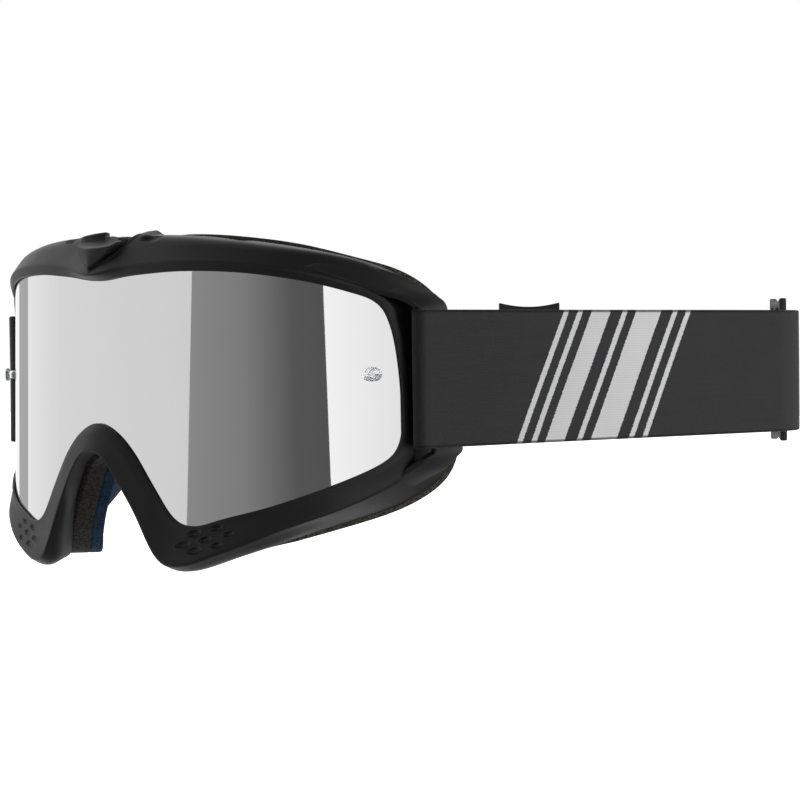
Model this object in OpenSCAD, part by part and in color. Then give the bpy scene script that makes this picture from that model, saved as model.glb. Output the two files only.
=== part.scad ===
// Motorcycle goggles: a moulded frame with side outriggers, a cylindrical mirror
// lens with tear-off posts, a two-layer face foam and an adjustable elastic strap.
// The wearer looks along -Y. +X is the wearer's left, +Z is up.

/* [Lens] */
// Radius of the cylinder that the lens front lies on
lens_r = 98.8; // [98:0.2:100]
// Thickness of the lens
lens_t = 1.6; // [1.2:0.1:1.8]
// How far the lens edge reaches past the visible opening
lens_edge = 2.4; // [1.6:0.2:2.6]
// Angle of each tear-off post from the centre line
post_angle = 55.5; // [45:0.5:56]
// Radius of a tear-off post head
post_head_r = 2.3; // [2:0.1:2.6]
// Radius of a tear-off post stem
post_stem_r = 1.4; // [1.2:0.1:1.5]

/* [Foam] */
// Width of the foam along the face
foam_w = 8; // [6:0.5:9]
// Thickness of the dark foam on the frame
base_foam_t = 10.5; // [6:0.5:11]
// Thickness of the blue layer that touches the face
fleece_t = 7.5; // [3:0.5:8]

/* [Strap] */
// Width of the elastic webbing
strap_w = 45; // [38:1:46]
// Thickness of the webbing
strap_t = 1.4; // [1.2:0.1:1.5]
// Upward slope of the strap from the frame to the back, in degrees
strap_rise = 0.85; // [0:0.05:2]
// Length of a slider along the strap
slider_l = 25; // [22:1:28]
// Height of a slider across the strap
slider_h = 55; // [54:0.5:60]
// Thickness of a slider
slider_t = 2.7; // [2.4:0.1:3]

/* [Hidden] */
$fn = 96;

// The outlines are drawn from the middle of the lens front; this moves them so
// that the part's origin is at the middle of its footprint, under the lowest point.
origin_shift = [0, -173.66, 54.78];

// Right half of each frame outline, from the top middle round to the nose.
// opening, ridge and front_edge are [x, z, depth behind the lens front].
opening = [
    [0, 38.9, 0], [14, 40.5, 0], [32, 41.7, 0], [50, 41.1, 0], [66, 38.5, 0],
    [77, 34.8, 0], [82.5, 31.2, 0], [84.9, 24, 0], [86.2, 12, 0], [86.8, -2, 0],
    [86.6, -13.5, 0], [83.6, -20.5, 0], [74, -27.4, 0], [60, -34, 0], [46, -38.4, 0],
    [36.5, -41, 0], [29.4, -38.6, 0], [22, -28.2, 0], [14.6, -17.4, 0], [7.5, -10.7, 0],
    [0, -7.8, 0]
];
ridge = [
    [0, 41.8, -2.4], [14.2, 43.4, -2.2], [32.2, 44.6, -2], [50.6, 44, -2], [67, 41.3, -2],
    [78.8, 37.2, -1.8], [84.6, 33, -1.5], [87, 25, -1.2], [88.2, 12, -1], [88.7, -2, -1],
    [88.4, -14.5, -1], [85, -22.3, -1], [75, -29.8, -1], [60.8, -36.4, -1.1],
    [46.6, -40.9, -1.2], [36.3, -43.6, -1.4], [28, -41, -1.6], [20.4, -29.6, -2],
    [13, -19, -2.4], [6.4, -12.8, -2.6], [0, -10.2, -2.8]
];
front_edge = [
    [0, 53.2, 4], [15, 55.2, 4], [33, 53, 4], [52, 50.6, 4], [69, 47.6, 4],
    [79.5, 43.3, 3.6], [85.8, 36, 2.6], [88, 26, 1.4], [88.6, 12, 0.6], [88.8, -2, 0.4],
    [88.6, -15, 0.6], [86.2, -26, 2], [76.5, -36, 0], [62, -42.2, -0.5],
    [47.5, -48.2, -1], [35.5, -52.4, -1.5], [26.5, -50.5, -2.5], [17.5, -37, -3.8],
    [10.5, -26, -4.6], [5.2, -19.2, -5], [0, -17.3, -5.2]
];
// Outer edge of the flange that carries the foam, [x, y, z]
flange = [
    [0, 26, 52.5], [16, 27.5, 53.6], [34, 32, 52.6], [52, 41, 49.9], [67, 52, 45.4],
    [77, 62, 41.3], [83, 71, 34.5], [86, 77.5, 24.5], [87, 80.5, 11], [87.2, 81, -3],
    [86.4, 80, -16], [83.6, 76, -26.5], [76, 64, -35], [62, 47, -41.8], [48.5, 31, -47.3],
    [36, 20.5, -52.4], [28.5, 16, -51.4], [21.5, 10.2, -38], [16, 8.4, -27.5],
    [11, 7.6, -19.8], [0, 7.6, -15.6]
];
steps = 4;            // pieces between two outline points
half_x = 87.2;        // half width of the flange
face_angle = 50;      // how far the flange turns inward at the temples
flange_w = 6;         // width of the flange
flange_t = 2;         // thickness of the flange
wall_t = 3;           // thickness of the side wall at the flange
belly_out = 3;        // how far the lower edge bellies out
belly_top = -28;      // height below which it does
lens_gap = 0.25;      // clearance in front of the lens and behind it in its groove
groove_room = 1;      // how much deeper the groove is than the lens edge
lip_t = 0.9;          // thickness of the lip in front of the lens
rear_lip_t = 1.8;     // thickness of the lip behind the lens
bore_gap = 0.06;      // radial clearance of a post in its holes

// Strap path, seen from above
strap_x = 94.8;       // outer face of the webbing beside the head
fold_y = 50.1;        // front of the fold round the outrigger
flare = 1.6;          // how much further out the webbing stands at the fold
flare_y = 130;        // where that spread has closed up
strap_zc = 6.8;       // height of the strap's middle at the pivot
pivot_y = 58;         // line that the strap tilts about
band_y = 76;          // where the moving band starts
turn_y = 258.1;       // where the strap turns in behind the head
turn_r = 50.2;        // radius of that turn
turn_a = 42.4;        // heading through the slider
slide_run = 27.5;     // straight strap on each side of the slider
layer_gap = 0.3;      // gap between webbing layers
run_y = 17.4;         // length of the webbing on the fold's body, behind the fold
return_y = 112;       // where the inner layer meets the outer one
fold_r = 2.6;         // outer radius of the fold
grip_gap = 0.06;      // bond line under the silicone grip lines
rear_r = (strap_x - turn_r * (1 - cos(turn_a)) - 2 * slide_run * sin(turn_a)) / cos(turn_a);
turn_end = [strap_x - turn_r * (1 - cos(turn_a)), turn_y + turn_r * sin(turn_a)];
slider_mid = turn_end + slide_run * [-sin(turn_a), cos(turn_a)];
rear_y = slider_mid[1] + slide_run * cos(turn_a) - rear_r * sin(turn_a);

// Slider details
bar_w = 3;            // width of its outer bars
slot_w = 7;           // width of its slots
slot_h = 46.4;        // length of its slots
end_dip = 1.7;        // depth of the hollow in its ends
tab_t = 1.2;          // thickness of the sewn webbing loop
tab_reach = 17;       // length of the loop in front of the slider's middle

post_z = 8.3;         // height of the posts
post_base_r = 2.7;    // radius of a post's base ring
retainer_r = 3.4;     // radius of the disc behind the lens
retainer_t = 0.8;     // thickness of the disc

// ---- curves -------------------------------------------------------------
function blend4(a, b, c, d, t) =
    0.5 * (2 * b + (c - a) * t + (2 * a - 5 * b + 4 * c - d) * t * t
           + (3 * b - a - 3 * c + d) * t * t * t);
function flip(p) = [-p[0], p[1], p[2]];
function ring(half) = let (n = len(half))
    concat(half, [for (i = [n - 2 : -1 : 1]) flip(half[i])]);
function smooth(half) = let (p = ring(half), n = len(p))
    [for (i = [0 : n - 1], k = [0 : steps - 1])
        blend4(p[(i + n - 1) % n], p[i], p[(i + 1) % n], p[(i + 2) % n], k / steps)];
// [x, z, depth] to a point on the lens cylinder
function on_lens(p) = [p[0], lens_r - sqrt(pow(lens_r - p[2], 2) - p[0] * p[0]), p[1]];
// Outward direction of a closed list of [x, z] points
function outward(c, i) = let (n = len(c), a = c[(i + n - 1) % n], b = c[(i + 1) % n],
    d = b - a) [-d[1], d[0]] / norm(d);
// The opening on the unrolled lens surface, as [arc length, z]
function unroll(c) = [for (p = c) [lens_r * asin(p[0] / lens_r) * PI / 180, p[1]]];
function rolled(s, z, depth) = let (a = s / lens_r * 180 / PI, r = lens_r - depth)
    [r * sin(a), lens_r - r * cos(a), z];
// A point at a distance outside the opening and a depth behind the lens front
function beside(flat, i, off, depth) = let (o = outward(flat, i), q = flat[i] + off * o)
    rolled(q[0], q[1], depth);

// Directions on the flange: inward along the face, and back towards the face
function turn_in(x) = face_angle * abs(x) / half_x;
function inward(c, i) = let (o = outward([for (p = c) [p[0], p[2]]], i), f = turn_in(c[i][0]))
    [-o[0] * cos(f), -abs(o[0]) * sin(f), -o[1]];
function faceward(x) = let (f = turn_in(x)) [-sign(x) * sin(f), cos(f), 0];

module sweep(rings) {
    n = len(rings);
    m = len(rings[0]);
    pts = [for (r = rings, p = r) p];
    faces = [for (i = [0 : n - 1], j = [0 : m - 1])
        let (a = i * m + j, b = i * m + (j + 1) % m,
             c = (i + 1) % n * m + (j + 1) % m, d = (i + 1) % n * m + j)
        each [[a, b, c], [a, c, d]]];
    polyhedron(points = pts, faces = faces, convexity = 10);
}

// ---- frame --------------------------------------------------------------
open_curve = smooth(opening);
flat_open = unroll(open_curve);
ridge_curve = [for (p = smooth(ridge)) on_lens(p)];
edge_curve = [for (p = smooth(front_edge)) on_lens(p)];
flange_curve = smooth(flange);

// The lower edge bellies out between the front edge and the flange
function belly(i) = let (e = edge_curve[i], o = outward([for (p = edge_curve) [p[0], p[2]]], i),
        low = min(1, max(0, (belly_top - e[2]) / 8)), d = belly_out * low * max(0, -o[1]))
    e + 0.4 * (flange_curve[i] - e) + d * [o[0], 0, o[1]];

function frame_ring(i) = let (f = flange_curve[i], w = inward(flange_curve, i),
        b = faceward(f[0]), groove = lens_edge + groove_room) [
    beside(flat_open, i, 0, -lens_gap - lip_t),
    ridge_curve[i],
    edge_curve[i],
    belly(i),
    f,
    f + flange_w * w,
    f + flange_w * w - flange_t * b,
    f + wall_t * w - (flange_t + 1) * b,
    beside(flat_open, i, groove + 1.4, lens_t + rear_lip_t + 0.6),
    beside(flat_open, i, 0.8, lens_t + rear_lip_t),
    beside(flat_open, i, 0.8, lens_t + lens_gap),
    beside(flat_open, i, groove, lens_t + lens_gap),
    beside(flat_open, i, groove, -lens_gap),
    beside(flat_open, i, 0, -lens_gap)
];

vents = [[0, 19.5, 50, 18, 7, 0], [-36, 22.5, 49.5, 20, 7, 5], [36, 22.5, 49.5, 20, 7, -5]];
module vent_box(v, gap, h) {
    translate([v[0], v[1], v[2]]) rotate([0, -v[5], 0])
        cube([v[3] - 2 * gap, v[4] - 2 * gap, h], center = true);
}

module frame_shell() {
    color([0.11, 0.11, 0.11]) difference() {
        sweep([for (i = [0 : len(open_curve) - 1]) frame_ring(i)]);
        for (v = vents) vent_box(v, 0, 16);
    }
}

module outrigger(s) {
    bar_x = strap_x + flare - fold_r;
    bar_y = fold_y + fold_r + 0.1;
    color([0.12, 0.12, 0.12]) mirror([s < 0 ? 1 : 0, 0, 0]) {
        // bar that the strap folds round
        hull() {
            translate([bar_x, bar_y, -20.5]) cylinder(r = 1, h = 54);
            translate([bar_x, 65, -20.5]) cylinder(r = 1, h = 54);
        }
        // upper and lower rails that join it to the frame
        hull() {
            translate([bar_x - 0.6, bar_y + 1.5, 33.4]) sphere(1.8, $fn = 24);
            translate([bar_x - 0.6, 66, 33]) sphere(1.8, $fn = 24);
            translate([83.5, 66, 33.5]) sphere(2, $fn = 24);
            translate([82.5, 52, 38]) sphere(2, $fn = 24);
            translate([84.5, 62, 36]) sphere(2, $fn = 24);
        }
        hull() {
            translate([bar_x - 0.6, bar_y + 1.5, -20.4]) sphere(1.8, $fn = 24);
            translate([bar_x - 0.8, 70, -18.5]) sphere(1.8, $fn = 24);
            translate([84, 69.5, -22]) sphere(2, $fn = 24);
            translate([84, 52, -26]) sphere(2, $fn = 24);
            translate([82, 62, -28]) sphere(2, $fn = 24);
        }
    }
}

// ---- lens and posts ------------------------------------------------------
module lens() {
    outline = [for (i = [0 : len(flat_open) - 1])
        let (q = flat_open[i] + lens_edge * outward(flat_open, i))
        [rolled(q[0], q[1], lens_t / 2)[0], q[1]]];
    end_angle = (max([for (q = flat_open) q[0]]) + lens_edge) / lens_r * 180 / PI;
    reach = 2 * lens_r;
    color([0.75, 0.76, 0.78]) difference() {
        intersection() {
            translate([0, lens_r, -50]) difference() {
                cylinder(r = lens_r, h = 100, $fn = 180);
                translate([0, 0, -1]) cylinder(r = lens_r - lens_t, h = 102, $fn = 180);
            }
            translate([0, 70, 0]) rotate([90, 0, 0]) linear_extrude(80) polygon(outline);
            // the ends are cut square to the curved sheet
            translate([0, lens_r, -50]) linear_extrude(100)
                polygon([[0, 0], reach * [-sin(end_angle), -cos(end_angle)], [0, -1.2 * reach],
                         reach * [sin(end_angle), -cos(end_angle)]]);
        }
        for (s = [-1, 1]) at_post(s) translate([0, 0, -5])
            cylinder(r = post_stem_r + bore_gap, h = 10, $fn = 48);
    }
}

// Places a child on the lens at a post, with +Z along the outward normal
module at_post(s) {
    translate([s * lens_r * sin(post_angle), lens_r * (1 - cos(post_angle)), post_z])
        rotate([90, 0, s * post_angle]) children();
}

module tearoff_post(s) {
    tail = lens_t + retainer_t + 0.4;
    color([0.85, 0.86, 0.88]) at_post(s) {
        translate([0, 0, -tail]) cylinder(r = post_stem_r, h = tail + 5, $fn = 48);
        translate([0, 0, 0.02]) rotate_extrude($fn = 48)
            polygon([[0, 0], [post_base_r, 0], [post_base_r - 0.5, 0.6], [0, 0.9]]);
        translate([0, 0, 4.4]) rotate_extrude($fn = 48)
            polygon([[0, -0.6], [post_stem_r, -0.6], [post_head_r, 0], [post_head_r, 1.6],
                     [post_head_r - 0.6, 2.2], [0, 2.6]]);
    }
}

module post_retainer(s) {
    color([0.8, 0.8, 0.8]) at_post(s) translate([0, 0, -lens_t - retainer_t - 0.1])
        difference() {
            cylinder(r = retainer_r, h = retainer_t, $fn = 48);
            translate([0, 0, -1]) cylinder(r = post_stem_r + bore_gap, h = 3, $fn = 48);
        }
}

// ---- foam ----------------------------------------------------------------
foam_inset = -1.3;    // the foam stands this far outside the flange edge
glue_gap = 0.15;      // glue line under each foam layer
foam_thin = 0.28;     // share of its thickness that the foam loses beside the nose
// 1 beside the foot of the nose, falling to 0 above it and along the cheek
function by_nose(p) = min(1, max(0, (-34 - p[2]) / 14)) * min(1, max(0, (52 - abs(p[0])) / 16));
function foam_ring(i, from, to) = let (f = flange_curve[i], w = inward(flange_curve, i),
        b = faceward(f[0]), e = f + foam_inset * w, k = 1 - foam_thin * by_nose(f),
        near = from * k + glue_gap, far = to * k) [
    e + near * b, e + far * b, e + foam_w * w + far * b, e + foam_w * w + near * b];

module foam(from, to) {
    sweep([for (i = [0 : len(flange_curve) - 1]) foam_ring(i, from, to)]);
}
module foam_base() { color([0.15, 0.14, 0.13]) foam(0, base_foam_t); }
module foam_fleece() {
    color([0.1, 0.16, 0.24]) foam(base_foam_t, base_foam_t + fleece_t);
}
module vent_filter(k) { color([0.2, 0.2, 0.2]) vent_box(vents[k], 0.4, 3); }

// ---- strap ---------------------------------------------------------------
// Places children drawn on a level strap whose middle is at z = 0
module on_strap() {
    translate([0, pivot_y, strap_zc]) rotate([strap_rise, 0, 0]) translate([0, -pivot_y, 0])
        children();
}
// Points seen from above along the webbing, at depth o inside its outer face
function arc(centre, r, a0, a1) = let (n = ceil(abs(a1 - a0) / 4))
    [for (k = [0 : n]) let (a = a0 + (a1 - a0) * k / n) centre + r * [cos(a), sin(a)]];
function turn_arc(o, a) = arc([strap_x - turn_r, turn_y], turn_r - o, 0, a);
function rear_arc(o, a0, a1) = arc([0, rear_y], rear_r - o, a0, a1);
function back(pts) = [for (i = [len(pts) - 1 : -1 : 0]) pts[i]];
function side_x(y) = strap_x + flare * max(0, flare_y - y) / (flare_y - fold_y);
function band_line(o) = let (
    side = concat([[side_x(band_y) - o, band_y], [strap_x - o, flare_y]], turn_arc(o, turn_a)),
    rear = rear_arc(o, turn_a, 180 - turn_a))
    concat(side, rear, [for (p = back(side)) [-p[0], p[1]]]);
function return_line(o) = let (spread = 2 * fold_r - strap_t - strap_t - layer_gap)
    concat([[side_x(band_y) - o - spread, band_y], [side_x(return_y) - o, return_y],
            [strap_x - o, flare_y]], turn_arc(o, 24));

// Webbing of width w between an outer line and an inner one
module webbing(outer, inner, w) {
    translate([0, 0, -w / 2]) linear_extrude(w) polygon(concat(outer, back(inner)));
}
// Local frame at the slider: +X outward, +Y back along the strap
module at_slider() {
    translate([slider_mid[0], slider_mid[1], 0]) rotate(turn_a) children();
}

module strap_band() {
    color([0.19, 0.19, 0.2]) on_strap() webbing(band_line(0), band_line(strap_t), strap_w);
}

// The fold round the outrigger bar, with a short run of each layer behind it
module strap_loop(s) {
    centre = [strap_x + flare - fold_r, fold_y + fold_r];
    function fold_line(r) = concat([centre + [r, run_y]], arc(centre, r, 0, -180),
                                   [centre + [-r, run_y]]);
    color([0.19, 0.19, 0.2]) on_strap() mirror([s < 0 ? 1 : 0, 0, 0])
        webbing(fold_line(fold_r), fold_line(fold_r - strap_t), strap_w);
}

// The inner layer, which runs from the fold back to the slider
module strap_return(s) {
    o = strap_t + layer_gap;
    color([0.15, 0.15, 0.16]) on_strap() mirror([s < 0 ? 1 : 0, 0, 0])
        webbing(return_line(o), return_line(o + strap_t), strap_w - 1);
}

module grip_lines() {
    color([0.3, 0.3, 0.32]) on_strap() for (z = [-12, 0, 12])
        translate([0, rear_y, z]) rotate_extrude(angle = 150 - 2 * turn_a, start = turn_a + 15)
            translate([rear_r - strap_t - grip_gap - 0.5, -1.5]) square([0.5, 3]);
}

// ---- sliders --------------------------------------------------------------
slider_o = strap_t + layer_gap;              // depth of the slider inside the strap's face
centre_w = slider_l - 2 * bar_w - 2 * slot_w; // width of the centre bar
bar_o = slider_o + 1.5;                      // the centre bar is recessed for the loop
dip_r = (pow(slider_l / 2, 2) + end_dip * end_dip) / (2 * end_dip);

module slider(s) {
    color([0.1, 0.1, 0.1]) on_strap() mirror([s < 0 ? 1 : 0, 0, 0]) at_slider()
        difference() {
            translate([-slider_o - slider_t, -slider_l / 2, -slider_h / 2])
                cube([slider_t, slider_l, slider_h]);
            for (y = [-1, 1]) translate([-slider_o - slider_t - 1,
                    y * (centre_w + slot_w) / 2 - slot_w / 2, -slot_h / 2])
                cube([slider_t + 2, slot_w, slot_h]);
            translate([-bar_o, -centre_w / 2 - 1, -slot_h / 2])
                cube([3, centre_w + 2, slot_h]);
            for (z = [-1, 1])
                translate([-slider_o - slider_t - 1, 0, z * (slider_h / 2 + dip_r - end_dip)])
                    rotate([0, 90, 0]) cylinder(r = dip_r, h = slider_t + 2, $fn = 120);
        }
}

module slider_tab(s) {
    w = slot_h - 2.4;
    inner_o = slider_o + slider_t + 0.2;
    outer_o = slider_o + 0.1;
    turn = (inner_o + tab_t - outer_o) / 2;
    color([0.15, 0.15, 0.16]) on_strap() mirror([s < 0 ? 1 : 0, 0, 0]) at_slider() {
        translate([-inner_o - tab_t, -tab_reach, -w / 2])
            cube([tab_t, tab_reach + centre_w / 2 + 0.5, w]);
        translate([-outer_o - tab_t, -centre_w / 2 - 1.5, -w / 2])
            cube([tab_t, centre_w + 2, w]);
        translate([-outer_o - turn, centre_w / 2 + 0.5, 0])
            rotate_extrude(angle = 180, $fn = 48)
                translate([turn - tab_t, -w / 2]) square([tab_t, w]);
    }
}

// ---- assembly -------------------------------------------------------------
translate(origin_shift) {
    frame_shell();
    outrigger(1);  // outrigger_left
    outrigger(-1);  // outrigger_right
    lens();
    tearoff_post(1);  // tearoff_post_left
    tearoff_post(-1);  // tearoff_post_right
    post_retainer(1);  // post_retainer_left
    post_retainer(-1);  // post_retainer_right
    foam_base();
    foam_fleece();
    vent_filter(0);  // vent_filter_top
    vent_filter(2);  // vent_filter_left
    vent_filter(1);  // vent_filter_right
    strap_loop(1);  // strap_loop_left
    strap_loop(-1);  // strap_loop_right
    strap_band();
    strap_return(1);  // strap_return_left
    strap_return(-1);  // strap_return_right
    grip_lines();
    slider(1);  // slider_left
    slider(-1);  // slider_right
    slider_tab(1);  // slider_tab_left
    slider_tab(-1);  // slider_tab_right
}
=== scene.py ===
import math

import bmesh
import bpy
import numpy as np
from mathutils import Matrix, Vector


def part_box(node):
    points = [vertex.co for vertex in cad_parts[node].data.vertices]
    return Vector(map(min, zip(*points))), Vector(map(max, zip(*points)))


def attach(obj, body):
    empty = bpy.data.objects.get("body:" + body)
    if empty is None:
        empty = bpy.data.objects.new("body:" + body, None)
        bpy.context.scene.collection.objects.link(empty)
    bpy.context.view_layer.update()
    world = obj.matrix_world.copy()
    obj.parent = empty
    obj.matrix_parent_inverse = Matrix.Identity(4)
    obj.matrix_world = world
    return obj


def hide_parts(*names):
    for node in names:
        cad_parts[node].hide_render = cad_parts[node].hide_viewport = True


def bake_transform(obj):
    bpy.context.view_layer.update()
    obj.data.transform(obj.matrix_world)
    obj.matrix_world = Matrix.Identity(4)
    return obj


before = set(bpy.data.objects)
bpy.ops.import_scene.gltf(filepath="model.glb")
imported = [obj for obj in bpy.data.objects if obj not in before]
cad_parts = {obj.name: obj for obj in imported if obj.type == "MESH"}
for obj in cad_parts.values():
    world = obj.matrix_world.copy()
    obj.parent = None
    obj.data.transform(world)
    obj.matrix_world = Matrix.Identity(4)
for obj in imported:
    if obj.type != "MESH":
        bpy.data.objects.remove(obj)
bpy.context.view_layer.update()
scene = bpy.context.scene

# Sizes here are millimetres, measured from the middle of the lens front: +X is the
# wearer's left, +Y is towards the face, +Z is up. to_row() turns them into the frame's metres.
LENS_R = 98.8         # radius of the lens front
LENS_T = 1.6
LENS_EDGE = 2.4       # how far the lens reaches past the opening
LENS_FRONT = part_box("lens")[0].y * 1000
ROW_SHIFT = np.array([0.0, LENS_FRONT, 54.78])
# Points on each span of an outline, from the top middle round; closer at the cheek dimples
SPAN_STATIONS = [30, 18] + [14] * 11 + [30, 30] + [14] * 5

STRAP_X = 94.8        # outer face of the webbing beside the head
STRAP_W = 45.0
STRAP_T = 1.4
STRAP_RISE = math.radians(0.85)
PIVOT = np.array([0.0, 58.0, 6.8])   # the strap tilts about this point
FOLD_Y = 50.1         # front of the webbing's fold
FLARE, FLARE_Y = 1.6, 130.0    # the webbing stands further out at the fold, up to FLARE_Y
FOLD_R = 2.6
FOLD_RUN = 20.0       # how far the folded end reaches back
TURN_Y = 258.1        # where the webbing starts to turn in behind the head
TURN_R = 50.2
TURN_A = math.radians(42.4)
SLIDE_RUN = 27.5      # half of the straight part that the slider moves on
SLIDER_L = 25.0
SLIDER_H = 55.0
SLIDER_T = 2.7
LAYER_GAP = 0.3


def to_row(points):
    return (np.asarray(points, float) + ROW_SHIFT) / 1000.0


# ---- outlines: right half, from the top middle round to the nose ---------------------
# opening, ridge and front_edge are [x, z, depth behind the lens front]; flange is [x, y, z]
OPENING = [
    [0, 38.9, 0], [14, 40.5, 0], [32, 41.7, 0], [50, 41.1, 0], [66, 38.5, 0],
    [77, 34.8, 0], [82.5, 31.2, 0], [84.9, 24, 0], [86.2, 12, 0], [86.8, -2, 0],
    [86.6, -13.5, 0], [83.6, -20.5, 0], [74, -27.4, 0], [60, -34, 0], [46, -38.4, 0],
    [36.5, -41, 0], [29.4, -38.6, 0], [22, -28.2, 0], [14.6, -17.4, 0], [7.5, -10.7, 0],
    [0, -7.8, 0],
]
RIDGE = [
    [0, 40.6, -6.0], [14.2, 43.4, -2.5], [32.2, 44.6, -2], [50.6, 44, -2], [67, 41.3, -2],
    [78.8, 37.2, -1.8], [84.6, 33, -1.5], [87, 25, -1.2], [88.2, 12, -1], [88.7, -2, -1],
    [88.4, -14.5, -1], [85, -22.3, -1], [75, -29.8, -1], [60.8, -36.4, -1.1],
    [46.6, -40.9, -1.2], [36.3, -43.6, -1.4], [28, -41, -1.6], [20.4, -29.6, -2],
    [13, -19, -2.4], [6.4, -12.8, -2.6], [0, -10.2, -2.8],
]
FRONT_EDGE = [
    [0, 53.2, 2.8], [15, 53.4, 3.4], [33, 52.5, 3.4], [52, 50.4, 3.2], [69, 47.6, 2.6],
    [79.5, 43.3, 2.2], [85.8, 36, 2.0], [88, 26, 1.2], [88.6, 12, 0.6], [88.8, -2, 0.4],
    [88.6, -15, 0.6], [86.2, -26, 1], [76.5, -35.4, -1.8], [62, -42.6, -2.8],
    [47.5, -49.2, -3.4], [33.5, -54, -3.6], [25.5, -51.4, -3.8], [17.5, -37, -3.8],
    [10.5, -26, -4.6], [5.2, -19.2, -5], [0, -17.3, -5.2],
]
FLANGE = [
    [0, 26, 52.5], [16, 27.5, 53.6], [34, 32, 52.6], [52, 41, 49.9], [67, 52, 45.4],
    [77, 62, 41.3], [83, 71, 34.5], [86, 77.5, 24.5], [87, 80.5, 11], [87.2, 81, -3],
    [86.4, 80, -16], [83.6, 76, -26.5], [76, 64, -35], [62, 47, -41.8], [48.5, 31, -47.3],
    [36, 20.5, -52.4], [28.5, 16, -51.4], [21.5, 10.2, -38], [16, 8.4, -27.5],
    [11, 7.6, -19.8], [0, 7.6, -15.6],
]
HALF_X = 87.2         # half width of the flange
FACE_ANGLE = math.radians(50)   # how far the flange turns in at its side
FLANGE_W = 6.0
FOAM_INSET = -1.3     # the foam's outer edge stands out past the flange
FOAM_W = 8.0
BASE_FOAM_T = 10.5
FLEECE_T = 7.5
FOAM_THIN = 0.30         # share of its thickness that the foam loses along the lower edge


def closed_curve(half):
    """A smooth closed curve through the half outline and its mirror image."""
    half = np.array(half, float)
    other = half[-2:0:-1] * [-1, 1, 1]
    points = np.concatenate([half, other])
    curve = []
    for i, stations in enumerate(SPAN_STATIONS + SPAN_STATIONS[::-1]):
        a, b, c, d = (points[(i + k) % len(points)] for k in (-1, 0, 1, 2))
        t = (np.arange(stations) / stations)[:, None]
        curve.append(0.5 * (2 * b + (c - a) * t + (2 * a - 5 * b + 4 * c - d) * t**2
                            + (3 * b - a - 3 * c + d) * t**3))
    return np.concatenate(curve)


def soften(curve, passes):
    for _ in range(passes):
        curve = 0.25 * np.roll(curve, 1, axis=0) + 0.5 * curve + 0.25 * np.roll(curve, -1, axis=0)
    return curve


def on_lens(curve):
    x, z, depth = curve.T
    return np.stack([x, LENS_R - np.sqrt((LENS_R - depth) ** 2 - x**2), z], axis=1)


def outward(flat):
    """Unit outward direction of a closed list of 2-D points, clockwise from above."""
    d = np.roll(flat, -1, axis=0) - np.roll(flat, 1, axis=0)
    return np.stack([-d[:, 1], d[:, 0]], axis=1) / np.linalg.norm(d, axis=1)[:, None]


opening = soften(closed_curve(OPENING), 6)
flat_open = np.stack([LENS_R * np.arcsin(opening[:, 0] / LENS_R), opening[:, 1]], axis=1)
flat_out = outward(flat_open)
ridge = on_lens(soften(closed_curve(RIDGE), 10))
front_edge = on_lens(soften(closed_curve(FRONT_EDGE), 10))
flange = soften(closed_curve(FLANGE), 14)


def beside(off, depth):
    """Ring at a distance outside the opening and a depth behind the lens front."""
    s, z = (flat_open + off * flat_out).T
    r = LENS_R - depth
    return np.stack([r * np.sin(s / LENS_R), LENS_R - r * np.cos(s / LENS_R), z], axis=1)


flange_out = outward(flange[:, [0, 2]])
flange_turn = FACE_ANGLE * np.abs(flange[:, 0]) / HALF_X
inward = np.stack([-flange_out[:, 0] * np.cos(flange_turn),
                   -np.abs(flange_out[:, 0]) * np.sin(flange_turn),
                   -flange_out[:, 1]], axis=1)
faceward = np.stack([-np.sign(flange[:, 0]) * np.sin(flange_turn),
                     np.cos(flange_turn), 0 * flange_turn], axis=1)


# ---- mesh helpers ---------------------------------------------------------------------
CREASE = math.radians(42)   # edges sharper than this are shaded as edges


def step_up(x, low, high):
    """A smooth step from 0 at low to 1 at high."""
    t = np.clip((x - low) / (high - low), 0, 1)
    return t * t * (3 - 2 * t)


def filleted(corners, closed=True):
    """Rings of points round a profile. Each corner is (ring, fillet radius, points on the
    straight to the next corner), and its fillet is a short curve."""
    rings = [np.asarray(c[0], float) for c in corners]
    count = len(corners)
    out = []
    for j, (_, radius, straight) in enumerate(corners):
        here = rings[j]
        if not closed and j in (0, count - 1):
            start, end = here, here
        else:
            start, end = (_step_to(here, rings[(j + k) % count], radius) for k in (-1, 1))
        arc = [here] if np.max(radius) <= 0 else [
            (1 - t) ** 2 * start + 2 * t * (1 - t) * here + t**2 * end
            for t in np.linspace(0, 1, 6)]
        out += arc
        if not closed and j == count - 1:
            break
        nxt = corners[(j + 1) % count]
        after = rings[(j + 1) % count]
        if closed or j + 1 < count - 1:
            after = _step_to(after, here, nxt[1])
        for k in range(1, straight + 1):
            t = k / (straight + 1)
            out.append((1 - t) * end + t * after)
    return np.array(out)


def _step_to(a, b, radius):
    d = b - a
    length = np.linalg.norm(d, axis=1)[:, None]
    reach = np.minimum(np.reshape(radius, (-1, 1)) if np.ndim(radius) else radius, 0.45 * length)
    return a + d / np.maximum(length, 1e-6) * reach


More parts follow.
